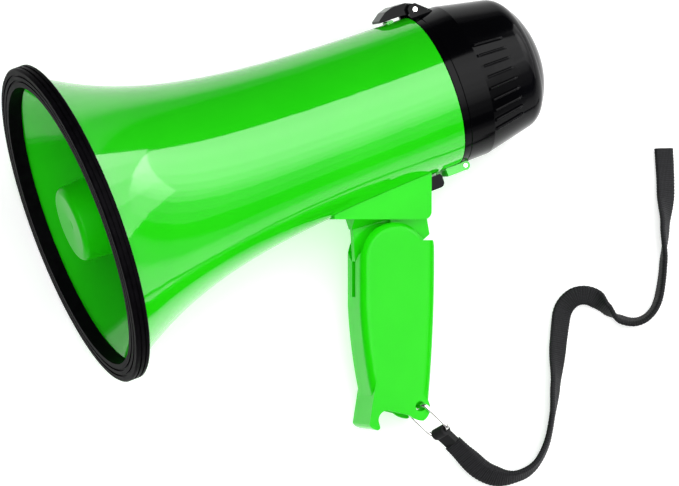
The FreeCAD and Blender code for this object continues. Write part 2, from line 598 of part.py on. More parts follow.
def make_bracket():
    """The saddle under the horn and the neck that the handle turns on."""
    saddle = slab("saddle", [
        ("- saddle_front", "saddle_bottom"), ("saddle_rear - 4", "saddle_bottom"),
        ("saddle_rear - 1.17", "saddle_bottom + 1.17", "saddle_rear", "saddle_bottom + 4"),
        ("saddle_rear", "saddle_bottom + 26"), ("- saddle_front", "saddle_bottom + 26"),
    ], "- saddle_half", "saddle_half")
    boss = rod("neck_boss", "neck_radius", "neck_half * 2", Vector(0, -size("neck_half"), 0), AXIS_Y)
    neck = slab("neck_block", [
        ("-1", "0"), ("14", "0"), ("16", "8.6"), ("saddle_rear + 0.8", "11.4"),
        ("saddle_rear - 0.8", "saddle_bottom + 2"), ("-1", "saddle_bottom + 2"),
    ], "- neck_half", "neck_half")
    keel = slab("neck_keel", [
        ("- grip_front_face", "-2"), ("0", "-6"), ("0", "saddle_bottom + 1"),
        ("- grip_front_face - 1.9", "saddle_bottom + 1"), ("- grip_front_face - 1.2", "14.6"),
    ], "- keel_half", "keel_half")
    gusset = doc.addObject("Part::Wedge", "neck_gusset")
    gusset.Xmin, gusset.Xmax = -19.5, -1
    gusset.Zmin, gusset.Zmax = -size("neck_half"), size("neck_half")
    gusset.Ymin, gusset.Ymax = 0, 5.4
    gusset.X2min, gusset.X2max = -19.4, -18.9
    gusset.Z2min, gusset.Z2max = -size("keel_half"), size("keel_half")
    gusset.Placement = Placement(Vector(0, 0, size("saddle_bottom + 0.4")), Rotation(AXIS_X, -90))
    body = fused("bracket_solid", [saddle, boss, neck, keel, gusset])
    plug = horn_plug()
    plug.Placement = HANDLE.inverse()
    pocket = block("talk_pocket_box", ("talk_pocket", "- talk_half - talk_gap", "- talk_bottom - 0.4"),
                   ("talk_rear", "talk_half + talk_gap", "- talk_top + 0.4"))
    pocket.Placement = HANDLE.inverse().multiply(pocket.Placement)
    holes = []
    for along in BRACKET_SCREWS:
        hole = rod("bracket_thread", "screw_radius + screw_slack", "12", Vector(along, 0, -45.5),
                   AXIS_Z)
        hole.Placement = HANDLE.inverse().multiply(hole.Placement)
        holes.append(hole)
    pin_bore = rod("neck_bore", "fold_pin_radius + run_slack", "40", Vector(0, -20, 0), AXIS_Y)
    tools = group("bracket_tools", [plug, pocket, pin_bore] + holes)
    node(cut("bracket_cut", body, tools), "handle_bracket", HANDLE)
    screws = []
    for index, along in enumerate(BRACKET_SCREWS):
        head = rod(f"bracket_screw_head_{index}", "screw_head", "1.7",
                   Vector(along, 0, -size("horn_bore") + 0.15), AXIS_Z)
        shaft = rod(f"bracket_screw_shaft_{index}", "screw_radius", "9.3",
                    Vector(along, 0, -45.1), AXIS_Z)
        screws.append(fused(f"bracket_screw_{index}", [head, shaft]))
    node(group("bracket_screw_group", screws), "bracket_screws")


def make_talk_button():
    button = slab("talk_button_block", [
        ("talk_front", "- talk_bottom"), ("talk_front", "- talk_top"),
        ("talk_rear - 0.8", "- talk_top"), ("talk_rear", "- talk_top - 1"),
        ("talk_rear", "- talk_bottom + 2.4"), ("talk_rear - 0.7", "- talk_bottom + 0.7",
                                               "talk_rear - 2.4", "- talk_bottom"),
    ], "- talk_half", "talk_half")
    centre = -size("( talk_top + talk_bottom ) / 2")
    well = rod("talk_spring_well", "spring_radius + 0.4", "10", Vector(size("talk_front - 0.2"), 0, centre))
    node(cut("talk_button_cut", button, well), "talk_button")
    box = block("talk_switch_box", ("talk_pocket + 0.1", "-5", "- talk_bottom + 0.4"),
                ("talk_pocket + switch_length", "5", "- talk_top - 0.4"))
    node(box, "talk_switch")
    spring = turned("talk_spring_tube", [
        ("talk_pocket + switch_length", "spring_radius - 0.5"),
        ("talk_pocket + switch_length", "spring_radius"),
        ("talk_front + 7", "spring_radius"), ("talk_front + 7", "spring_radius - 0.5"),
    ])
    node(spring, "talk_spring", Placement(Vector(0, 0, centre), Rotation()))


GRIP_OUTLINE = [
    ("- grip_front_face", "0"),
    ("0", "grip_top", "15.4", "8.5"),
    ("grip_rear_face - 1.4", "8.5"), ("grip_rear_face", "4"),
    ("grip_rear_face - 0.7", "-34", "grip_rear_face - 3.4", "-73"),
    ("grip_rear_face - 4.4", "-77.6", "14", "- grip_end"),
    ("10.4", "- grip_end + 0.6", "6.9", "-77.3"), ("-4.4", "-74.7"),
    ("-7.9", "-76.3", "-9.1", "-79.8"), ("-8.2", "- grip_end - 3"),
    ("-9", "- grip_end - 4.2", "-10.6", "- grip_end - 4.1"),
    ("-12.6", "- grip_end - 3.2", "-13.8", "- grip_end - 1.6"), ("-11.6", "-68"), ("- grip_front_face + 2.2", "-47", "- grip_front_face", "-24"),
]
GRIP_HOLLOW = [
    ("- grip_front_face + grip_wall", "0"),
    ("0", "grip_top - grip_wall", "13.3", "6.9"),
    ("grip_rear_face - grip_wall", "3"),
    ("grip_rear_face - grip_wall - 0.7", "-34", "grip_rear_face - grip_wall - 3.2", "-70"),
    ("15.2", "- grip_end - 12"), ("-5", "- grip_end - 12"), ("-6.4", "-73"), ("-9.2", "-68"),
    ("- grip_front_face + grip_wall + 2.2", "-47", "- grip_front_face + grip_wall", "-24"),
]
GRIP_SCREWS = ((4, -31), (1, -62))


def rounded_half(outer, side):
    """The outer half with its long outside edges rounded."""
    face_at = -side * size("grip_half")
    rounded = doc.addObject("Part::Fillet", outer.Name + "_rounded")
    rounded.Base = outer
    radius = size("grip_edge")
    edges = []
    for index, edge in enumerate(outer.Shape.Edges, start=1):
        flat = all(abs(vertex.Y - face_at) < 1e-6 for vertex in edge.Vertexes)
        if flat and edge.Length > 20:
            edges.append((index, radius, radius))
    rounded.Edges = edges
    return rounded


def make_grip(label, side):
    """Half of the grip, on the near side (side 1) or the far side (side -1)."""
    near = side == 1
    low, high = ("0", "grip_half") if near else ("- grip_half", "0")
    outer = slab(f"grip_{label}", GRIP_OUTLINE, low, high)
    doc.recompute()
    edge = rounded_half(outer, side)
    inner_low, inner_high = ("-1", "grip_half - grip_wall")
    if not near:
        inner_low, inner_high = ("- grip_half + grip_wall", "1")
    hollow = slab(f"grip_hollow_{label}", GRIP_HOLLOW, inner_low, inner_high)
    inner = "grip_half - grip_wall"
    blade_slot = block(f"blade_slot_{label}", ("-30", "- slot_half", "- slot_end"),
                       ("-10", "slot_half", "20"))
    blade_notch = slab(f"blade_notch_{label}", [
        ("- slot_half", "-2.3"), ("slot_half", "-2.3"), (inner, "notch_top"), (inner, "30"),
        (f"- ( {inner} )", "30"), (f"- ( {inner} )", "notch_top"),
    ], "-30", "0", role="YZ_Plane")
    open_top = block(f"open_top_{label}", ("-30", f"- ( {inner} )", "notch_top"),
                     ("grip_rear_face - grip_wall", inner, "30"))
    tools = [hollow, blade_slot, blade_notch, open_top]
    if near:
        drop = -size("ring_hole_drop")
        tools.append(rod("ring_hole", "ring_hole_radius", "6",
                         Vector(size("ring_hole_rear"), -size("grip_half") - 1, drop), AXIS_Y))
    shell = cut(f"grip_opened_{label}", edge, group(f"grip_tools_{label}", tools))
    bosses = []
    reach = size(inner) + 0.2
    start = -reach if near else size("boss_inner")
    bosses.append(rod(f"pin_boss_{label}", "boss_radius", f"{inner} + 0.2 - boss_inner",
                      Vector(0, start, 0), AXIS_Y))
    for index, (back, up) in enumerate(GRIP_SCREWS):
        bosses.append(rod(f"screw_boss_{label}_{index}", "3.6", f"{inner} + 0.2",
                          Vector(back, -reach if near else 0, up), AXIS_Y))
    solid = fused(f"grip_solid_{label}", [shell] + bosses)
    pin_reach = size("grip_half - 1")
    bores = [rod(f"pin_bore_{label}", "fold_pin_radius", "grip_half - 1",
                 Vector(0, -pin_reach if near else 0, 0), AXIS_Y)]
    for index, (back, up) in enumerate(GRIP_SCREWS):
        spot = Vector(back, -9, up) if near else Vector(back, -1, up)
        bores.append(rod(f"screw_bore_{label}_{index}", "screw_radius + screw_slack",
                         "9" if near else "16", spot, AXIS_Y))
        if not near:
            bores.append(rod(f"screw_seat_{label}_{index}", "screw_head + 0.2", "4",
                             Vector(back, size("grip_half - 2"), up), AXIS_Y))
    node(cut(f"grip_bored_{label}", solid, group(f"grip_bores_{label}", bores)),
         f"grip_shell_{label}", HANDLE)


def make_grip_metal():
    reach = size("grip_half - 1")
    node(rod("fold_pin_rod", "fold_pin_radius", "grip_half * 2 - 2", Vector(0, -reach, 0), AXIS_Y),
         "fold_pin", HANDLE)
    washers = []
    for label, start in (("near", -size("boss_inner")), ("far", size("boss_inner - washer_thick"))):
        disc = rod(f"washer_disc_{label}", "washer_radius", "washer_thick", Vector(0, start, 0), AXIS_Y)
        hole = rod(f"washer_hole_{label}", "fold_pin_radius + run_slack", "washer_thick",
                   Vector(0, start, 0), AXIS_Y)
        washers.append(cut(f"washer_{label}", disc, hole))
    node(group("washer_pair", washers), "friction_washers", HANDLE)
    screws = []
    for index, (back, up) in enumerate(GRIP_SCREWS):
        seat = size("grip_half - 2")
        head = rod(f"grip_screw_head_{index}", "screw_head", "1.7", Vector(back, seat, up), AXIS_Y)
        shaft = rod(f"grip_screw_shaft_{index}", "screw_radius", "grip_half + 5.6",
                    Vector(back, -7.6, up), AXIS_Y)
        screws.append(fused(f"grip_screw_{index}", [head, shaft]))
    node(group("grip_screw_group", screws), "grip_screws", HANDLE)


def bent_path(points, radii):
    """Straight runs through points joined by tangent arcs of the given radii; it is closed
    when there are as many radii as points."""
    closed = len(radii) == len(points)
    count = len(points)
    corners = range(count) if closed else range(1, count - 1)
    edges, last, first = [], None if closed else points[0], None
    for number, index in enumerate(corners):
        before, here, after = points[index - 1], points[index], points[(index + 1) % count]
        back, ahead = (before - here).normalize(), (after - here).normalize()
        half = back.getAngle(ahead) / 2
        reach = radii[number] / math.tan(half)
        start, stop = here + back * reach, here + ahead * reach
        middle_way = (back + ahead).normalize()
        middle = here + middle_way * (radii[number] / math.sin(half) - radii[number])
        if last is not None:
            edges.append(Part.makeLine(last, start))
        else:
            first = start
        edges.append(Part.Arc(start, middle, stop).toShape())
        last = stop
    edges.append(Part.makeLine(last, first if closed else points[-1]))
    return Part.Wire(edges)


def swept(path, radius):
    """A round bar along a path."""
    first = path.OrderedEdges[0]
    start = first.valueAt(first.FirstParameter)
    heading = first.tangentAt(first.FirstParameter)
    section = Part.Wire(Part.Circle(start, heading, radius).toShape())
    return path.makePipeShell([section], True, True)


def ring_frame():
    """Axes of the strap ring: X along its legs, Y along its bar and Z square to both."""
    lean, twist = math.radians(size("ring_lean")), math.radians(size("ring_twist"))
    legs = Vector(math.cos(lean), 0, -math.sin(lean))
    side = Vector(-math.sin(lean), 0, -math.cos(lean))
    bar = AXIS_Y * math.cos(twist) + side * math.sin(twist)
    return legs, bar


def make_ring():
    """The wire ring through the near cheek's hole and the webbing loop on its bar."""
    legs, bar = ring_frame()
    hole = Vector(size("ring_hole_rear"), -size("grip_half - grip_wall / 2"), -size("ring_hole_drop"))
    corner = hole - bar * (size("grip_wall / 2 + ring_out") / math.cos(math.radians(size("ring_twist"))))
    long, wide = size("ring_length"), size("ring_width")
    corners = [corner, corner + legs * long, corner + legs * long + bar * wide, corner + bar * wide]
    wire = swept(bent_path(corners, [size("ring_bend")] * 4), size("wire_radius"))
    node(feature("ring_wire", wire), "strap_ring", HANDLE)
    middle = corner + legs * long + bar * (wide / 2)
    half, thick, bore = size("loop_width / 2"), size("loop_thick"), size("wire_radius") + 0.3
    lift = legs.cross(bar)
    spin = Placement(middle, Rotation(legs, bar, lift, "XYZ"))
    round_bar = Part.makeCylinder(bore + thick, 2 * half, Vector(0, -half, 0), AXIS_Y)
    tail = Part.makeBox(size("loop_tail"), 2 * half, 2 * thick, Vector(0, -half, -thick))
    hollow = Part.makeCylinder(bore, 2 * half, Vector(0, -half, 0), AXIS_Y)
    loop = round_bar.fuse(tail).cut(hollow)
    loop.Placement = spin
    node(feature("loop_band", loop), "strap_loop", HANDLE)
    return middle + legs * size("loop_tail"), legs


def lying(pieces):
    """The placement that lays the pieces on their far side, centred over the origin."""
    turn = Rotation(AXIS_Y, size("lean_forward"))
    turn = turn.multiply(Rotation(AXIS_X, size("lean_up") - 90))
    box = FreeCAD.BoundBox()
    for obj, at in pieces:
        shape = obj.Shape.copy()
        shape.Placement = Placement(Vector(), turn).multiply(at).multiply(obj.Placement)
        box.add(shape.optimalBoundingBox(False))
    middle = Vector(-box.Center.x, -box.Center.y, -box.ZMin)
    return Placement(middle, turn)


# The wrist strap's route on the floor, as laid: from the loop on the ring to the far fold.
# Its first points come down from the ring; the rest lie half a strap width above the floor.
STRAP_ROUTE = [
    (21.9, -129.2, 11.6), (27.0, -139.4, 7.4), (36.6, -148.6, 5), (49.6, -149.6, 5),
    (60.8, -140.4, 5), (69.4, -127.4, 5), (78.6, -111.0, 5), (86.4, -95.8, 5),
    (91.6, -86.9, 5), (97.0, -78.2, 5), (105.4, -75.2, 5), (113.3, -79.3, 5),
    (116.6, -88.4, 5), (120.8, -96.4, 5), (129.2, -101.0, 5), (139.4, -97.6, 5),
    (147.4, -86.6, 5), (155.2, -72.2, 5), (161.6, -58.8, 5), (168.0, -46.0, 5),
    (172.9, -34.4, 5), (176.8, -24.2, 5),
]


def make_strap(start):
    """The strap as a round tube of its width along its route."""
    points = [start] + [Vector(*spot) for spot in STRAP_ROUTE]
    radii = []
    for before, here, after in zip(points, points[1:], points[2:]):
        turn = (here - before).getAngle(after - here)
        shorter = min(here.distanceToPoint(before), here.distanceToPoint(after))
        radii.append(0.45 * shorter / math.tan(turn / 2))
    print("strap arc radii:", [round(radius, 1) for radius in radii])
    path = bent_path(points, radii)
    tube = swept(path, size("strap_width / 2"))
    expected = path.Length * math.pi * size("strap_width / 2") ** 2
    print(f"strap length {path.Length:.1f}, volume {tube.Volume / expected:.4f} of section x length")
    obj = feature("strap_tube", tube)
    obj.Label = "wrist_strap"
    return obj


def check(pieces):
    """Stops before writing when any object failed or any piece is empty or not valid."""
    for obj in doc.Objects:
        if "Invalid" in obj.State or "Error" in obj.State:
            raise RuntimeError(f"{obj.Label} failed: {obj.State}")
    for obj in pieces:
        if obj.Shape.isNull() or not obj.Shape.isValid():
            raise RuntimeError(f"{obj.Label} has no valid shape")


def main():
    make_horn()
    make_rim()
    make_nose()
    make_throat()
    make_driver()
    make_electronics()
    make_cap()
    make_cap_inside()
    make_controls()
    make_latch()
    make_hinge()
    make_bracket()
    make_talk_button()
    make_grip("near", 1)
    make_grip("far", -1)
    make_grip_metal()
    tail_end, legs = make_ring()
    doc.recompute()
    laid = lying(nodes)
    for obj, at in nodes:
        obj.Placement = laid.multiply(at).multiply(obj.Placement)
    start = laid.multiply(HANDLE).multVec(tail_end + legs * size("strap_gap"))
    strap = make_strap(start)
    doc.recompute()
    pieces = [obj for obj, at in nodes] + [strap]
    check(pieces)
    os.makedirs("parts", exist_ok=True)
    for obj in pieces:
        obj.Shape.exportStep(f"parts/{obj.Label}.step")
    print(len(pieces), "pieces written")


main()
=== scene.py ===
import json
import math
import bmesh
import bpy
from mathutils import Matrix, Vector


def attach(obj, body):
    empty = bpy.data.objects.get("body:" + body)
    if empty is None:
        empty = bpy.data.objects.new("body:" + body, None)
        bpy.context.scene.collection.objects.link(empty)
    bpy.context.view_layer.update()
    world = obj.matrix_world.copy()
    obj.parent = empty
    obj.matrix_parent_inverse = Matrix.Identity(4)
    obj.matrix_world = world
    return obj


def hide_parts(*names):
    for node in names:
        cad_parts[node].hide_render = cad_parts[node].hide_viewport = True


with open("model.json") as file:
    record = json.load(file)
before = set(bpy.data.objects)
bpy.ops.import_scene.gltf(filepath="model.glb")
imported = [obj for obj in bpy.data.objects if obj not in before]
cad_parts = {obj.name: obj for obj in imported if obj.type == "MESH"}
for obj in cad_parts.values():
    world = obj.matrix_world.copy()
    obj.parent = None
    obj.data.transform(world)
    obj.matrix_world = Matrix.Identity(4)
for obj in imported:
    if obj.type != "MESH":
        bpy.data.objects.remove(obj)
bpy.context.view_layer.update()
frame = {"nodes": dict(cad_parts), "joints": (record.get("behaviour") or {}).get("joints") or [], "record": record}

# A folding megaphone lying on its far side, with its wrist strap on the floor beside it.
# Lengths are in metres. MEGAPHONE carries a point from the megaphone's own axes into the
# frame: X along the horn from the bell's rim to the cap, Z up through it, Y across.
joints = {joint["name"]: joint for joint in frame["joints"]}
mounts = {mount["name"]: mount for mount in frame["record"]["mounts"]}
along = Vector(joints["volume_turn"]["axis"])
across = Vector(joints["handle_fold"]["axis"])
upward = along.cross(across)
BELL_REST_HEIGHT = 0.078
rim_centre = Vector(mounts["bell_rest"]["pos_m"]) - upward * BELL_REST_HEIGHT
MEGAPHONE = Matrix.Translation(rim_centre) @ Matrix((along, across, upward)).transposed().to_4x4()
FOLD_PIN = Vector(joints["handle_fold"]["pos_m"])
RAKE = math.radians(20)
HANDLE = (Matrix.Translation(FOLD_PIN) @ MEGAPHONE.to_3x3().to_4x4()
          @ Matrix.Rotation(RAKE, 4, "Y"))


# ---------------------------------------------------------------- camera and cords

CAMERA_PLACE = Vector((-0.4360, -1.8989, 0.1502))
CAMERA_FORWARD = Vector((0.2822, 0.9538, -0.1027))
CAMERA_UP = Vector((0.342, 0.0, 0.9397))
LENS_MM = 215.4


def make_camera():
    data = bpy.data.cameras.new("camera")
    data.lens = LENS_MM
    data.sensor_width = 36
    data.clip_end = 20
    camera = bpy.data.objects.new("camera", data)
    bpy.context.collection.objects.link(camera)
    back = -CAMERA_FORWARD.normalized()
    right = CAMERA_UP.cross(back).normalized()
    turn = Matrix((right, back.cross(right), back)).transposed().to_4x4()
    camera.matrix_world = MEGAPHONE @ Matrix.Translation(CAMERA_PLACE) @ turn
    bpy.context.scene.camera = camera


make_camera()

STRAP_WIDTH = 0.0100
STRAP_THICK = 0.0028
STRAP_ROUTE = [
    (0.01800, -0.12057, 0.01534), (0.0219, -0.1292, 0.0116), (0.0270, -0.1394, 0.0070),
    (0.0366, -0.1468, 0.0052), (0.0496, -0.1476, 0.0052), (0.0608, -0.1396, 0.0052),
    (0.0694, -0.1274, 0.0050), (0.0786, -0.1110, 0.0036), (0.0864, -0.0958, 0.0024),
    (0.0916, -0.0869, 0.0020), (0.0970, -0.0782, 0.0024), (0.1054, -0.0752, 0.0046),
    (0.1133, -0.0793, 0.0052), (0.1166, -0.0884, 0.0052), (0.1208, -0.0964, 0.0052),
    (0.1292, -0.1010, 0.0052), (0.1394, -0.0976, 0.0052), (0.1474, -0.0866, 0.0052),
    (0.1552, -0.0722, 0.0050), (0.1616, -0.0588, 0.0034), (0.1680, -0.0460, 0.0022),
    (0.1729, -0.0344, 0.0018), (0.1768, -0.0242, 0.0018),
]
# How far the flat band is turned about its own line, in degrees from lying flat, by the
# fraction of its length.
STRAP_TURNS = [
    (0.00, 28), (0.05, 28), (0.10, 40), (0.15, 70), (0.20, 82), (0.28, 84), (0.34, 66), (0.42, 26), (0.50, 8),
    (0.55, 14), (0.585, 70), (0.62, 118), (0.70, 104), (0.78, 98), (0.85, 66), (0.92, 18), (1.00, 6),
]


def smooth_between(table, where):
    """The table's value at a fraction, eased between its rows."""
    for (low, first), (high, second) in zip(table, table[1:]):
        if where <= high:
            part = (where - low) / (high - low)
            part = part * part * (3 - 2 * part)
            return first + (second - first) * part
    return table[-1][1]


def spline_points(points, name, resolution=24):
    """The smooth line of a NURBS spline whose control points are the given ones."""
    data = bpy.data.curves.new(name, "CURVE")
    data.dimensions = "3D"
    data.resolution_u = resolution
    spline = data.splines.new("NURBS")
    spline.points.add(len(points) - 1)
    for control, spot in zip(spline.points, points):
        control.co = (*spot, 1)
    spline.order_u = 3
    spline.use_endpoint_u = True
    guide = bpy.data.objects.new(name, data)
    mesh = bpy.data.meshes.new_from_object(guide)
    line = [vertex.co.copy() for vertex in mesh.vertices]
    bpy.data.objects.remove(guide)
    bpy.data.meshes.remove(mesh)
    return line


def line_length(line):
    return sum((b - a).length for a, b in zip(line, line[1:]))


def even_points(line, step):
    """Points every step along a line, its two ends among them."""
    total = line_length(line)
    count = max(2, round(total / step))
    spots, walked, index = [line[0].copy()], 0.0, 0
    for number in range(1, count):
        goal = total * number / count
        while walked + (line[index + 1] - line[index]).length < goal:
            walked += (line[index + 1] - line[index]).length
            index += 1
        run = line[index + 1] - line[index]
        spots.append(line[index] + run * ((goal - walked) / run.length))
    spots.append(line[-1].copy())
    return spots


def new_piece(name, vertices, faces, body, material):
    """A closed smooth mesh that rides on a body."""
    mesh = bpy.data.meshes.new(name)
    mesh.from_pydata([tuple(spot) for spot in vertices], [], faces)
    mesh.update()
    tidy = bmesh.new()
    tidy.from_mesh(mesh)
    bmesh.ops.remove_doubles(tidy, verts=tidy.verts, dist=1e-7)
    bmesh.ops.recalc_face_normals(tidy, faces=tidy.faces)
    tidy.to_mesh(mesh)
    tidy.free()
    for polygon in mesh.polygons:
        polygon.use_smooth = True
    piece = bpy.data.objects.new(name, mesh)
    bpy.context.collection.objects.link(piece)
    mesh.materials.append(material)
    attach(piece, body)
    return piece


# ---------------------------------------------------------------- materials

def links_of(name):
    material = bpy.data.materials.new(name)
    material.use_nodes = True
    tree = material.node_tree
    shader = tree.nodes["Principled BSDF"]
    return material, tree, shader


def noise(tree, scale, detail=3.0, roughness=0.5):
    texture = tree.nodes.new("ShaderNodeTexNoise")
    texture.inputs["Scale"].default_value = scale
    texture.inputs["Detail"].default_value = detail
    texture.inputs["Roughness"].default_value = roughness
    place = tree.nodes.new("ShaderNodeTexCoord")
    tree.links.new(place.outputs["Object"], texture.inputs["Vector"])
    return texture.outputs["Fac"]


def ramp(tree, value, low, high, start=0.35, end=0.65):
    """Maps a 0..1 value to a range of colours."""
    stops = tree.nodes.new("ShaderNodeValToRGB")
    tree.links.new(value, stops.inputs["Fac"])
    stops.color_ramp.elements[0].position = start
    stops.color_ramp.elements[1].position = end
    stops.color_ramp.elements[0].color = (*low, 1)
    stops.color_ramp.elements[1].color = (*high, 1)
    return stops.outputs["Color"]


def spread(tree, value, low, high):
    mapping = tree.nodes.new("ShaderNodeMapRange")
    tree.links.new(value, mapping.inputs["Value"])
    mapping.inputs["To Min"].default_value = low
    mapping.inputs["To Max"].default_value = high
    return mapping.outputs["Result"]


def add_bump(tree, shader, height, strength, distance):
    bump = tree.nodes.new("ShaderNodeBump")
    bump.inputs["Strength"].default_value = strength
    bump.inputs["Distance"].default_value = distance
    tree.links.new(height, bump.inputs["Height"])
    tree.links.new(bump.outputs["Normal"], shader.inputs["Normal"])
    return bump


def moulded(name, dark, light, rough_low, rough_high, coat, grain=900, depth=0.00002,
            ior=1.5, coat_rough=0.03, specular=0.5):
    """Moulded plastic: slight flow marks in the colour, uneven gloss and a fine skin."""
    material, tree, shader = links_of(name)
    tree.links.new(ramp(tree, noise(tree, 14, 4), dark, light), shader.inputs["Base Color"])
    tree.links.new(spread(tree, noise(tree, 60, 5, 0.6), rough_low, rough_high),
                   shader.inputs["Roughness"])
    shader.inputs["IOR"].default_value = ior
    shader.inputs["Specular IOR Level"].default_value = specular
    shader.inputs["Coat Weight"].default_value = coat
    shader.inputs["Coat Roughness"].default_value = coat_rough
    add_bump(tree, shader, noise(tree, grain, 2), 0.25, depth)
    return material


def rubber(name):
    material, tree, shader = links_of(name)
    tree.links.new(ramp(tree, noise(tree, 220, 6, 0.7), (0.0022, 0.0020, 0.0025),
                        (0.0050, 0.0045, 0.0058)), shader.inputs["Base Color"])
    tree.links.new(spread(tree, noise(tree, 90, 4), 0.30, 0.42), shader.inputs["Roughness"])
    shader.inputs["IOR"].default_value = 1.3
    shader.inputs["Specular IOR Level"].default_value = 0.015
    add_bump(tree, shader, noise(tree, 1600, 3), 0.3, 0.00002)
    return material


SCRATCH_SCALE = (40, 400, 40)


def metal(name, dark, light, rough_low, rough_high):
    """Plated or turned steel with fine lengthwise marks."""
    material, tree, shader = links_of(name)
    place = tree.nodes.new("ShaderNodeTexCoord")
    stretch = tree.nodes.new("ShaderNodeMapping")
    stretch.inputs["Scale"].default_value = SCRATCH_SCALE
    tree.links.new(place.outputs["Object"], stretch.inputs["Vector"])
    marks = tree.nodes.new("ShaderNodeTexNoise")
    marks.inputs["Scale"].default_value = 9
    marks.inputs["Detail"].default_value = 5
    tree.links.new(stretch.outputs["Vector"], marks.inputs["Vector"])
    tree.links.new(ramp(tree, marks.outputs["Fac"], dark, light), shader.inputs["Base Color"])
    tree.links.new(spread(tree, marks.outputs["Fac"], rough_low, rough_high),
                   shader.inputs["Roughness"])
    shader.inputs["Metallic"].default_value = 1
    add_bump(tree, shader, marks.outputs["Fac"], 0.15, 0.00002)
    return material


def banded(name, dark, light, scale, rough, metallic=0.0, depth=0.0001):
    """A wound or lined surface: close bands across one direction, such as windings."""
    material, tree, shader = links_of(name)
    wave = tree.nodes.new("ShaderNodeTexWave")
    wave.bands_direction = "X"
    wave.inputs["Scale"].default_value = scale
    wave.inputs["Distortion"].default_value = 0.6
    wave.inputs["Detail"].default_value = 1
    place = tree.nodes.new("ShaderNodeTexCoord")
    tree.links.new(place.outputs["Object"], wave.inputs["Vector"])
    tree.links.new(ramp(tree, wave.outputs["Fac"], dark, light, 0.1, 0.9),
                   shader.inputs["Base Color"])
    tree.links.new(spread(tree, noise(tree, 120), rough * 0.8, rough * 1.2),
                   shader.inputs["Roughness"])
    shader.inputs["Metallic"].default_value = metallic
    add_bump(tree, shader, wave.outputs["Fac"], 0.5, depth)
    return material


def board_material(name):
    """Solder mask with copper runs showing through in straight steps."""
    material, tree, shader = links_of(name)
    bricks = tree.nodes.new("ShaderNodeTexBrick")
    bricks.inputs["Scale"].default_value = 160
    bricks.inputs["Mortar Size"].default_value = 0.06
    bricks.inputs["Color1"].default_value = (0.012, 0.10, 0.03, 1)
    bricks.inputs["Color2"].default_value = (0.016, 0.13, 0.04, 1)
    bricks.inputs["Mortar"].default_value = (0.05, 0.22, 0.07, 1)
    place = tree.nodes.new("ShaderNodeTexCoord")
    tree.links.new(place.outputs["Object"], bricks.inputs["Vector"])
    tree.links.new(bricks.outputs["Color"], shader.inputs["Base Color"])
    tree.links.new(spread(tree, noise(tree, 80), 0.25, 0.45), shader.inputs["Roughness"])
    add_bump(tree, shader, bricks.outputs["Fac"], 0.3, 0.00005)
    return material


def webbing_material(name):
    """Woven nylon tape: weft ribs across it, warp yarns along it, and painted glints of loose yarn hairs in its
    colour.
    The piece's UV map runs along the tape in u and across it in v, both in millimetres."""
    material, tree, shader = links_of(name)
    uv = tree.nodes.new("ShaderNodeUVMap")
    uv.uv_map = "tape"
    ribs = tree.nodes.new("ShaderNodeTexWave")
    ribs.bands_direction = "X"
    ribs.inputs["Scale"].default_value = 0.30
    ribs.inputs["Distortion"].default_value = 0.8
    ribs.inputs["Detail"].default_value = 2
    tree.links.new(uv.outputs["UV"], ribs.inputs["Vector"])
    yarns = tree.nodes.new("ShaderNodeTexWave")
    yarns.bands_direction = "Y"
    yarns.inputs["Scale"].default_value = 0.42
    yarns.inputs["Distortion"].default_value = 1.2
    yarns.inputs["Detail"].default_value = 2
    tree.links.new(uv.outputs["UV"], yarns.inputs["Vector"])
    weave = tree.nodes.new("ShaderNodeMath")
    weave.operation = "MULTIPLY"
    tree.links.new(ribs.outputs["Fac"], weave.inputs[0])
    tree.links.new(yarns.outputs["Fac"], weave.inputs[1])
    # Painted glints: a noise brightens the tape's colour in spots, standing in for light caught by loose yarn
    # hairs.
    painted_glint_mask = noise(tree, 3.4, 6, 0.75)
    tree.links.new(uv.outputs["UV"], painted_glint_mask.node.inputs["Vector"])
    weave_and_painted_glints = tree.nodes.new("ShaderNodeMath")
    weave_and_painted_glints.operation = "MULTIPLY"
    tree.links.new(weave.outputs["Value"], weave_and_painted_glints.inputs[0])
    tree.links.new(painted_glint_mask, weave_and_painted_glints.inputs[1])
    # The colour follows the weave's real pattern times the painted glints.
    tree.links.new(ramp(tree, weave_and_painted_glints.outputs["Value"], (0.0012, 0.0012, 0.0018),
                        (0.024, 0.024, 0.032), 0.18, 0.62), shader.inputs["Base Color"])
    shader.inputs["Roughness"].default_value = 0.72
    shader.inputs["Specular IOR Level"].default_value = 0.2
    shader.inputs["Sheen Weight"].default_value = 0.04
    shader.inputs["Sheen Roughness"].default_value = 0.4
    add_bump(tree, shader, weave.outputs["Value"], 0.8, 0.00025)
    return material


GREEN_DARK = (0.014, 0.700, 0.003)
GREEN_LIGHT = (0.020, 0.760, 0.005)
green = moulded("green_gloss_plastic", GREEN_DARK, GREEN_LIGHT, 0.05, 0.09, 0.25, grain=500,
                depth=0.00001, ior=1.42, coat_rough=0.02)
green_inner = moulded("green_inner_plastic", GREEN_DARK, GREEN_LIGHT, 0.25, 0.35, 0.0, grain=600,
                      ior=1.3, specular=0.12)
green_grip = moulded("green_grip_plastic", GREEN_DARK, GREEN_LIGHT, 0.12, 0.18, 0.04, grain=700,
                     ior=1.36, coat_rough=0.04, specular=0.12)
black_gloss = moulded("black_gloss_plastic", (0.0010, 0.0010, 0.0014), (0.0024, 0.0024, 0.0034),
                      0.09, 0.15, 0.0, grain=700, depth=0.00001, ior=1.24, specular=0.22)
black_satin = moulded("black_satin_plastic", (0.008, 0.008, 0.009), (0.018, 0.018, 0.02),
                      0.35, 0.5, 0.1, grain=1400, depth=0.00004)
grey_ferrite = moulded("ferrite", (0.03, 0.03, 0.033), (0.06, 0.06, 0.062), 0.55, 0.8, 0.0,
                       grain=1100, depth=0.00006)
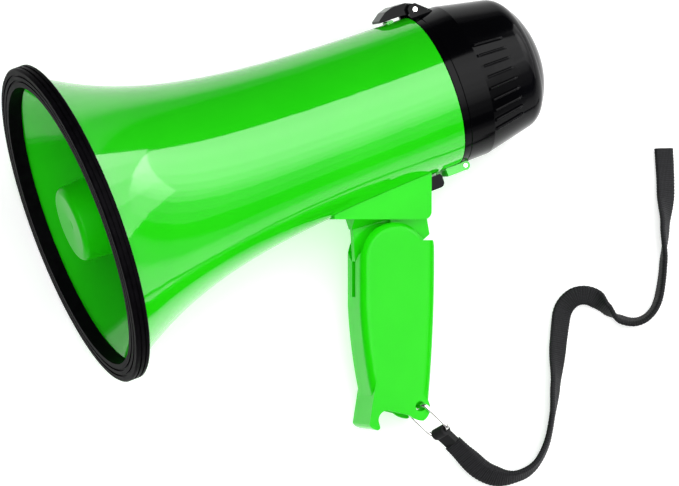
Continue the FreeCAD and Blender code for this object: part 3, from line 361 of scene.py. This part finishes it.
film = moulded("cone_film", (0.55, 0.5, 0.36), (0.66, 0.62, 0.48), 0.2, 0.35, 0.4, grain=300)
cell_wrap = banded("cell_wrap", (0.012, 0.014, 0.022), (0.02, 0.024, 0.035), 2.0, 0.22, depth=0.00001)
black_rubber = rubber("rim_rubber")
bright_steel = metal("bright_plated_wire", (0.62, 0.61, 0.60), (0.86, 0.85, 0.83), 0.08, 0.2)
zinc_steel = metal("zinc_plated_steel", (0.42, 0.42, 0.43), (0.62, 0.62, 0.62), 0.22, 0.42)
windings = banded("copper_windings", (0.35, 0.13, 0.05), (0.72, 0.33, 0.15), 700, 0.3, 1.0)
circuit = board_material("circuit_board")
webbing = webbing_material("woven_nylon_tape")

NODE_MATERIALS = {
    green: "horn_bell cap_hinge_leaf",
    green_inner: "bullet_nose throat_tube",
    green_grip: "handle_bracket grip_shell_near grip_shell_far",
    black_rubber: "rim_ring",
    black_gloss: "rear_cap latch_lever talk_button volume_knob siren_slide",
    black_satin: "bulkhead battery_holder talk_switch driver_frame siren_switch "
                 "volume_control mic_grille",
    bright_steel: "strap_ring talk_spring front_contacts rear_contacts latch_pin fold_pin "
                  "cap_hinge_pin",
    zinc_steel: "driver_screws top_plate back_plate_and_pole board_screws bracket_screws "
                "friction_washers grip_screws mic_capsule",
    grey_ferrite: "magnet_ring",
    circuit: "amplifier_board contact_board amplifier_parts",
    film: "diaphragm",
    windings: "voice_coil",
    cell_wrap: "battery_cell_1 battery_cell_2 battery_cell_3",
    webbing: "strap_loop wrist_strap",
}


def dress_nodes():
    """Each carried-over CAD node gets its material."""
    for material, names in NODE_MATERIALS.items():
        for name in names.split():
            node = frame["nodes"][name]
            node.data.materials.clear()
            node.data.materials.append(material)


dress_nodes()


# ---------------------------------------------------------------- the wrist strap

def band_section(width, thick, rounds=5):
    """A flat band's outline with rounded edges, as (across, up) pairs, anticlockwise."""
    half, radius = width / 2 - thick / 2, thick / 2
    spots = []
    for side in (1, -1):
        for step in range(rounds + 1):
            angle = math.radians(-90 + 180 * step / rounds)
            spots.append((side * (half + radius * math.cos(angle)), side * radius * math.sin(angle)))
        for step in range(1, 8):
            spots.append((side * half * (1 - step / 4), side * radius))
    return spots


FLOOR_UP = Vector((0, 0, 1))


def band_frames(line, turns):
    """For each point: its place, its direction, and the band's width and thickness axes."""
    rows = []
    for index, spot in enumerate(line):
        ahead = line[min(index + 1, len(line) - 1)]
        behind = line[max(index - 1, 0)]
        direction = (ahead - behind).normalized()
        side = FLOOR_UP.cross(direction).normalized()
        turn = Matrix.Rotation(math.radians(smooth_between(turns, index / (len(line) - 1))), 3,
                               direction)
        wide = turn @ side
        rows.append((spot, direction, wide, direction.cross(wide)))
    return rows


RIB_STEP = 0.0016
RIB_SWELL_WIDE, RIB_SWELL_THICK = 0.018, 0.045


def swept_band(name, rows, width_at, thick_at):
    """A closed band along the rows, ribbed across, with a UV map in millimetres."""
    vertices, faces, coordinates = [], [], []
    count = len(band_section(1, 0.1))
    walked = 0.0
    for index, (spot, direction, wide, thick_axis) in enumerate(rows):
        if index:
            walked += (spot - rows[index - 1][0]).length
        where = index / (len(rows) - 1)
        rib = math.cos(2 * math.pi * walked / RIB_STEP)
        section = band_section(width_at(where) * (1 + RIB_SWELL_WIDE * rib),
                               thick_at(where) * (1 + RIB_SWELL_THICK * rib))
        for x, y in section:
            vertices.append(spot + wide * x + thick_axis * y)
            coordinates.append((walked * 1000, x * 1000 + (25 if y > 0 else 0)))
    for row in range(len(rows) - 1):
        for column in range(count):
            after = (column + 1) % count
            faces.append((row * count + column, row * count + after,
                          (row + 1) * count + after, (row + 1) * count + column))
    for row, first in ((0, True), (len(rows) - 1, False)):
        ring = [row * count + column for column in range(count)]
        middle = len(vertices)
        vertices.append(rows[row][0].copy())
        coordinates.append(coordinates[row * count])
        for column in range(count):
            pair = (ring[column], ring[(column + 1) % count])
            faces.append((middle, *pair) if first else (middle, *reversed(pair)))
    mesh = bpy.data.meshes.new(name)
    mesh.from_pydata([tuple(spot) for spot in vertices], [], faces)
    tape = mesh.uv_layers.new(name="tape")
    for loop in mesh.loops:
        tape.data[loop.index].uv = coordinates[loop.vertex_index]
    tidy = bmesh.new()
    tidy.from_mesh(mesh)
    bmesh.ops.recalc_face_normals(tidy, faces=tidy.faces)
    tidy.to_mesh(mesh)
    tidy.free()
    for polygon in mesh.polygons:
        polygon.use_smooth = True
    mesh.materials.append(webbing)
    piece = bpy.data.objects.new(name, mesh)
    bpy.context.collection.objects.link(piece)
    return piece


BAND_STEP = 0.0004
SEWN_MIDDLE, SEWN_HALF = 0.075, 0.045
# Half of the ribbed band's width and thickness, with a margin, and its gap over the floor.
REACH_WIDE, REACH_THICK, FLOOR_GAP = 0.515, 0.53, 0.0002


def sewn_at(where):
    """1 in the doubled and sewn length near the ring, falling to 0 away from it."""
    return math.exp(-((where - SEWN_MIDDLE) / SEWN_HALF) ** 4)


def make_strap():
    line = even_points(spline_points(STRAP_ROUTE, "strap_line"), BAND_STEP)
    rows = band_frames(line, STRAP_TURNS)

    def width_at(where):
        return STRAP_WIDTH * (0.96 + 0.18 * sewn_at(where))

    def thick_at(where):
        return STRAP_THICK * (0.95 + 0.75 * sewn_at(where))

    for index, (spot, _, wide, thick_axis) in enumerate(rows):
        where = index / (len(rows) - 1)
        reach = abs(wide.z) * width_at(where) * REACH_WIDE
        reach += abs(thick_axis.z) * thick_at(where) * REACH_THICK
        spot.z = max(spot.z, reach + FLOOR_GAP)
    strap = swept_band("wrist_strap_band", rows, width_at, thick_at)
    return strap, line


strap, strap_line = make_strap()
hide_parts("wrist_strap")
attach(strap, "handle")


# ---------------------------------------------------------------- small moulded pieces

CAP_RIB_FRONT, CAP_RIB_REAR = 0.2120, 0.2286
CAP_RIB_HALF = 0.0009
CAP_RIB_RISE, CAP_RIB_SINK = 0.0011, 0.0004
CAP_RIB_RINGS, CAP_RIB_SPOKES = 16, 9
CAP_SIDE_RADIUS, CAP_TAPER_RADIUS = 0.0387, 0.0336
CAP_TAPER_FROM, CAP_TAPER_TO = 0.2114, 0.236
RIB_TURN, RIB_COUNT, RIB_MIDDLE = 8.5, 9, -9


def cap_radius_at(x):
    part = (x - CAP_TAPER_FROM) / (CAP_TAPER_TO - CAP_TAPER_FROM)
    return CAP_SIDE_RADIUS + (CAP_TAPER_RADIUS - CAP_SIDE_RADIUS) * part


def make_cap_ribs():
    """Half-round finger ribs on both sides of the cap, tapering into it at their ends."""
    vertices, faces = [], []
    rings, spokes = CAP_RIB_RINGS, CAP_RIB_SPOKES
    for side in (-1, 1):
        for number in range(RIB_COUNT):
            angle = math.radians(RIB_MIDDLE + RIB_TURN * (number - (RIB_COUNT - 1) / 2))
            out = Vector((0, side * math.cos(angle), math.sin(angle)))
            round_way = Vector((1, 0, 0)).cross(out)
            first = len(vertices)
            for ring in range(rings + 1):
                part = ring / rings
                x = CAP_RIB_FRONT + (CAP_RIB_REAR - CAP_RIB_FRONT) * part
                swell = min(1.0, 4.2 * math.sqrt(max(part * (1 - part), 0.004)))
                for spoke in range(spokes + 1):
                    turn = math.pi * spoke / spokes
                    proud = (CAP_RIB_RISE + CAP_RIB_SINK) * swell * math.sin(turn)
                    rise = cap_radius_at(x) - CAP_RIB_SINK + proud
                    aside = CAP_RIB_HALF * min(1.0, 0.4 + swell) * math.cos(turn)
                    vertices.append(MEGAPHONE @ (Vector((x, 0, 0)) + out * rise + round_way * aside))
            across = spokes + 1
            for ring in range(rings):
                for spoke in range(spokes):
                    low = first + ring * across + spoke
                    faces.append((low, low + 1, low + across + 1, low + across))
                faces.append((first + ring * across, first + (ring + 1) * across,
                              first + (ring + 1) * across + spokes, first + ring * across + spokes))
            faces.append(tuple(first + spoke for spoke in range(across)))
            faces.append(tuple(first + rings * across + spoke for spoke in reversed(range(across))))
    return new_piece("cap_finger_ribs", vertices, faces, "cap", black_gloss)


make_cap_ribs()


# ---------------------------------------------------------------- floor and light

# Painted light on the floor: how strongly it emits light round the megaphone, and the distances from FLOOR_MIDDLE
# where that painted pool of light is full and where it has faded to painted grey shade.
FLOOR_PAINTED_GLOW = 0.48
FLOOR_MIDDLE = (0.02, -0.01, 0.0)
FLOOR_PAINTED_LIGHT_TO, FLOOR_PAINTED_SHADE_FROM = 0.27, 0.52


def pale_floor_material():
    """White paper with a painted pool of light round the megaphone: painted paler and emitting light there,
    falling off to painted grey shade away from it.
    """
    material, tree, shader = links_of("pale_floor")
    place = tree.nodes.new("ShaderNodeTexCoord")
    reach = tree.nodes.new("ShaderNodeVectorMath")
    reach.operation = "DISTANCE"
    reach.inputs[1].default_value = FLOOR_MIDDLE
    tree.links.new(place.outputs["Object"], reach.inputs[0])
    # Painted pool of light: 1 round the megaphone, easing to 0 away from it.
    near = tree.nodes.new("ShaderNodeMapRange")
    near.interpolation_type = "SMOOTHSTEP"
    near.inputs["From Min"].default_value = FLOOR_PAINTED_LIGHT_TO
    near.inputs["From Max"].default_value = FLOOR_PAINTED_SHADE_FROM
    near.inputs["To Min"].default_value = 1.0
    near.inputs["To Max"].default_value = 0.0
    tree.links.new(reach.outputs["Value"], near.inputs["Value"])
    # The paper's colour, painted grey shade away from the megaphone.
    paper = tree.nodes.new("ShaderNodeMix")
    paper.data_type = "RGBA"
    paper.inputs["A"].default_value = (0.30, 0.30, 0.31, 1)
    tree.links.new(near.outputs["Result"], paper.inputs["Factor"])
    tree.links.new(ramp(tree, noise(tree, 3, 3), (0.76, 0.76, 0.76), (0.80, 0.80, 0.80)),
                   paper.inputs["B"])
    tree.links.new(paper.outputs["Result"], shader.inputs["Base Color"])
    shader.inputs["Roughness"].default_value = 0.6
    shader.inputs["Emission Color"].default_value = (1, 1, 1, 1)
    # Painted light: the floor emits light round the megaphone though it is no lamp.
    painted_glow = tree.nodes.new("ShaderNodeMath")
    painted_glow.operation = "MULTIPLY"
    painted_glow.inputs[1].default_value = FLOOR_PAINTED_GLOW
    tree.links.new(near.outputs["Result"], painted_glow.inputs[0])
    tree.links.new(painted_glow.outputs["Value"], shader.inputs["Emission Strength"])
    return material


def make_floor():
    half = 3.0
    corners = [(-half, -half, 0), (half, -half, 0), (half, half, 0), (-half, half, 0)]
    mesh = bpy.data.meshes.new("floor")
    mesh.from_pydata(corners, [], [(0, 1, 2, 3)])
    mesh.materials.append(pale_floor_material())
    floor = bpy.data.objects.new("floor", mesh)
    bpy.context.collection.objects.link(floor)


def panel(name, corner, run, drop, length, depth, radiance, shines=True, mirrored=True):
    """A flat area light. Its corner, the way its length runs and the way its depth drops are
    in the megaphone's own axes. shines is whether it lights matt surfaces, mirrored whether
    glossy ones show it."""
    run, drop = Vector(run).normalized(), Vector(drop).normalized()
    data = bpy.data.lights.new(name, "AREA")
    data.shape = "RECTANGLE"
    data.size, data.size_y = length, depth
    data.energy = radiance * math.pi * length * depth
    light = bpy.data.objects.new(name, data)
    bpy.context.collection.objects.link(light)
    middle = Vector(corner) + run * (length / 2) + drop * (depth / 2)
    back = run.cross(drop)
    if back.dot(middle - Vector((0.12, 0, 0))) < 0:
        drop = -drop
        back = -back
    turn = Matrix((run, drop, back)).transposed().to_4x4()
    light.matrix_world = MEGAPHONE @ Matrix.Translation(middle) @ turn
    light.visible_camera = False
    light.visible_diffuse = shines
    light.visible_glossy = mirrored
    return light


# The big panel beside the horn: strips from its top edge down, each as (depth, radiance).
MAIN_STRIPS = [(0.6, 5.6), (0.6, 6.0), (0.6, 5.6), (0.45, 4.8), (0.35, 3.8), (0.3, 2.8), (0.3, 2.0),
               (0.8, 0.8), (1.0, 0.5)]
END_STRIPS = [(0.10, 5.0), (0.10, 4.4), (0.12, 3.4), (0.14, 2.4)]


def stacked(name, corner, run, drop, length, strips):
    spot, down = Vector(corner), Vector(drop).normalized()
    for number, (depth, radiance) in enumerate(strips):
        panel(f"{name}_{number}", spot, run, drop, length, depth, radiance, shines=False)
        spot = spot + down * depth


def make_lights():
    stacked("main", (-1.8, -2.4, 0.506), (0.9184, 0, 0.3957), (0.3957, 0, -0.9184), 9.0, MAIN_STRIPS)
    stacked("end", (0.62, -0.245, 0.400), (0, 0.8836, -0.4683), (0, -0.4683, -0.8836), 0.62, END_STRIPS)
    panel("key", (-1.4, -2.2, 1.9), (1, 0, 0), (0, -0.35, -1), 3.2, 2.4, 2.9, mirrored=False)
    panel("fill", (-1.6, -1.6, -0.6), (1, 0, 0), (0, 0.6, -1), 3.2, 1.2, 1.4, mirrored=False)
    panel("bell", (-2.2, -1.8, 1.0), (0, 1, 0), (0, 0, -1), 1.8, 1.8, 0.6, mirrored=False)
    world = bpy.data.worlds.new("studio")
    bpy.context.scene.world = world
    world.use_nodes = True
    background = world.node_tree.nodes["Background"]
    background.inputs["Color"].default_value = (0.9, 0.93, 1.0, 1)
    background.inputs["Strength"].default_value = 0.07


make_floor()
make_lights()
bpy.context.scene.view_settings.view_transform = "Standard"
